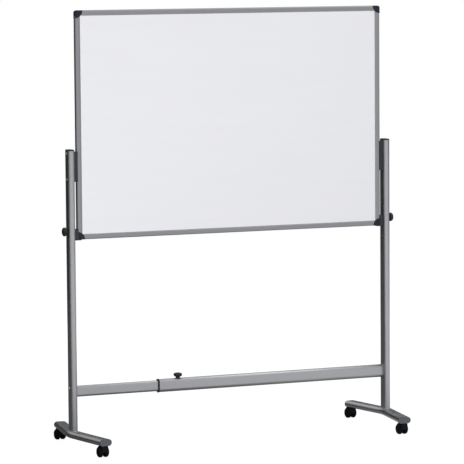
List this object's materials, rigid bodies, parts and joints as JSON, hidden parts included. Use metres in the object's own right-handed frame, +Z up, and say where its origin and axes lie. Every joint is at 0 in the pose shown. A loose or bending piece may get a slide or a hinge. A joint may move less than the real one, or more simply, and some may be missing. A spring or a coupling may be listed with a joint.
{
  "type": "rolling whiteboard",
  "caption": "Framed magnetic whiteboard held between two oval-tube posts on bent feet with twin-wheel castors, joined by a telescopic crossbar with a clamp knob.",
  "frame": {"origin": "on the floor, under the middle of the whole object", "axes": "+X along the board to the viewer's right, -Y the side that is written on, +Z up"},
  "size_m": [1.6356, 0.6183, 1.964],
  "materials": {
    "white_enamel": "glossy white enamelled steel",
    "back_panel": "fibreboard core with a matt grey backing foil",
    "anodised_frame": "satin anodised extrusion",
    "corner_plastic": "satin navy black moulding",
    "silver_paint": "fine silver grey powder coat",
    "grey_plug_plastic": "grained grey moulding",
    "bracket_plastic": "dark grey moulding",
    "black_plastic": "satin black moulding",
    "hood_plastic": "satin black nylon",
    "wheel_plastic": "black nylon wheel",
    "zinc_steel": "bright zinc plated steel"
  },
  "bodies": {
    "right_stand": {"right_post": "silver_paint", "right_post_cap": "black_plastic", "right_foot": "silver_paint", "right_front_foot_cap": "grey_plug_plastic", "right_rear_foot_cap": "grey_plug_plastic", "right_upper_bracket": "bracket_plastic", "right_bracket_screw_top": "zinc_steel", "right_bracket_screw_low": "zinc_steel", "right_lower_bracket": "bracket_plastic", "right_crossbar_bolt": "zinc_steel", "right_front_stem": "zinc_steel", "right_rear_stem": "zinc_steel", "crossbar_outer_tube": "silver_paint", "crossbar_collar": "black_plastic"},
    "left_stand": {"left_post": "silver_paint", "left_post_cap": "black_plastic", "left_foot": "silver_paint", "left_front_foot_cap": "grey_plug_plastic", "left_rear_foot_cap": "grey_plug_plastic", "left_upper_bracket": "bracket_plastic", "left_bracket_screw_top": "zinc_steel", "left_bracket_screw_low": "zinc_steel", "left_lower_bracket": "bracket_plastic", "left_crossbar_bolt": "zinc_steel", "left_front_stem": "zinc_steel", "left_rear_stem": "zinc_steel", "crossbar_inner_tube": "silver_paint"},
    "board": {"writing_sheet": "white_enamel", "core_panel": "back_panel", "frame_top": "anodised_frame", "frame_bottom": "anodised_frame", "frame_left": "anodised_frame", "frame_right": "anodised_frame", "top_left_corner": "corner_plastic", "top_right_corner": "corner_plastic", "bottom_left_corner": "corner_plastic", "bottom_right_corner": "corner_plastic"},
    "left_knob": {"left_bracket_knob": "black_plastic"},
    "right_knob": {"right_bracket_knob": "black_plastic"},
    "bar_knob": {"crossbar_knob": "black_plastic"},
    "left_front_castor": {"left_front_hood": "hood_plastic", "left_front_axle": "zinc_steel"},
    "left_front_brake": {"left_front_brake_pedal": "black_plastic"},
    "left_front_left_wheel": {"left_front_wheel_left": "wheel_plastic"},
    "left_front_right_wheel": {"left_front_wheel_right": "wheel_plastic"},
    "left_rear_castor": {"left_rear_hood": "hood_plastic", "left_rear_axle": "zinc_steel"},
    "left_rear_brake": {"left_rear_brake_pedal": "black_plastic"},
    "left_rear_left_wheel": {"left_rear_wheel_left": "wheel_plastic"},
    "left_rear_right_wheel": {"left_rear_wheel_right": "wheel_plastic"},
    "right_front_castor": {"right_front_hood": "hood_plastic", "right_front_axle": "zinc_steel"},
    "right_front_brake": {"right_front_brake_pedal": "black_plastic"},
    "right_front_left_wheel": {"right_front_wheel_left": "wheel_plastic"},
    "right_front_right_wheel": {"right_front_wheel_right": "wheel_plastic"},
    "right_rear_castor": {"right_rear_hood": "hood_plastic", "right_rear_axle": "zinc_steel"},
    "right_rear_brake": {"right_rear_brake_pedal": "black_plastic"},
    "right_rear_left_wheel": {"right_rear_wheel_left": "wheel_plastic"},
    "right_rear_right_wheel": {"right_rear_wheel_right": "wheel_plastic"}
  },
  "joints": [
    {"name": "crossbar_telescope", "type": "slide", "parent": "right_stand", "child": "left_stand", "axis": [-1, 0, 0], "range_m": [0, 0.4]},
    {"name": "board_lift", "type": "slide", "parent": "right_stand", "child": "board", "axis": [0, 0, 1], "range_m": [0, 0.42]},
    {"name": "left_knob_turn", "type": "hinge", "parent": "left_stand", "child": "left_knob", "pos_m": [-0.764, -0.0125, 0.9807], "axis": [-1, 0, 0], "continuous": true},
    {"name": "right_knob_turn", "type": "hinge", "parent": "right_stand", "child": "right_knob", "pos_m": [0.764, -0.0125, 0.9807], "axis": [1, 0, 0], "continuous": true},
    {"name": "crossbar_knob_turn", "type": "hinge", "parent": "right_stand", "child": "bar_knob", "pos_m": [-0.27, -0.0125, 0.292], "axis": [0, 0, 1], "continuous": true},
    {"name": "left_front_swivel", "type": "hinge", "parent": "left_stand", "child": "left_front_castor", "pos_m": [-0.73636, -0.2865, 0.05359], "axis": [0, 0, 1], "continuous": true},
    {"name": "left_front_left_wheel_spin", "type": "hinge", "parent": "left_front_castor", "child": "left_front_left_wheel", "pos_m": [-0.73636, -0.2695, 0.02459], "axis": [1, 0, 0], "continuous": true},
    {"name": "left_front_right_wheel_spin", "type": "hinge", "parent": "left_front_castor", "child": "left_front_right_wheel", "pos_m": [-0.73636, -0.2695, 0.02459], "axis": [1, 0, 0], "continuous": true},
    {"name": "left_front_brake_press", "type": "hinge", "parent": "left_front_castor", "child": "left_front_brake", "pos_m": [-0.73636, -0.25088, 0.04455], "axis": [-1, 0, 0], "range_deg": [0, 10]},
    {"name": "left_rear_swivel", "type": "hinge", "parent": "left_stand", "child": "left_rear_castor", "pos_m": [-0.73636, 0.2615, 0.05359], "axis": [0, 0, 1], "continuous": true},
    {"name": "left_rear_left_wheel_spin", "type": "hinge", "parent": "left_rear_castor", "child": "left_rear_left_wheel", "pos_m": [-0.73636, 0.2785, 0.02459], "axis": [1, 0, 0], "continuous": true},
    {"name": "left_rear_right_wheel_spin", "type": "hinge", "parent": "left_rear_castor", "child": "left_rear_right_wheel", "pos_m": [-0.73636, 0.2785, 0.02459], "axis": [1, 0, 0], "continuous": true},
    {"name": "left_rear_brake_press", "type": "hinge", "parent": "left_rear_castor", "child": "left_rear_brake", "pos_m": [-0.73636, 0.29712, 0.04455], "axis": [-1, 0, 0], "range_deg": [0, 10]},
    {"name": "right_front_swivel", "type": "hinge", "parent": "right_stand", "child": "right_front_castor", "pos_m": [0.73636, -0.2865, 0.05359], "axis": [0, 0, 1], "continuous": true},
    {"name": "right_front_left_wheel_spin", "type": "hinge", "parent": "right_front_castor", "child": "right_front_left_wheel", "pos_m": [0.73636, -0.2695, 0.02459], "axis": [1, 0, 0], "continuous": true},
    {"name": "right_front_right_wheel_spin", "type": "hinge", "parent": "right_front_castor", "child": "right_front_right_wheel", "pos_m": [0.73636, -0.2695, 0.02459], "axis": [1, 0, 0], "continuous": true},
    {"name": "right_front_brake_press", "type": "hinge", "parent": "right_front_castor", "child": "right_front_brake", "pos_m": [0.73636, -0.25088, 0.04455], "axis": [-1, 0, 0], "range_deg": [0, 10]},
    {"name": "right_rear_swivel", "type": "hinge", "parent": "right_stand", "child": "right_rear_castor", "pos_m": [0.73636, 0.2615, 0.05359], "axis": [0, 0, 1], "continuous": true},
    {"name": "right_rear_left_wheel_spin", "type": "hinge", "parent": "right_rear_castor", "child": "right_rear_left_wheel", "pos_m": [0.73636, 0.2785, 0.02459], "axis": [1, 0, 0], "continuous": true},
    {"name": "right_rear_right_wheel_spin", "type": "hinge", "parent": "right_rear_castor", "child": "right_rear_right_wheel", "pos_m": [0.73636, 0.2785, 0.02459], "axis": [1, 0, 0], "continuous": true},
    {"name": "right_rear_brake_press", "type": "hinge", "parent": "right_rear_castor", "child": "right_rear_brake", "pos_m": [0.73636, 0.29712, 0.04455], "axis": [-1, 0, 0], "range_deg": [0, 10]}
  ]
}
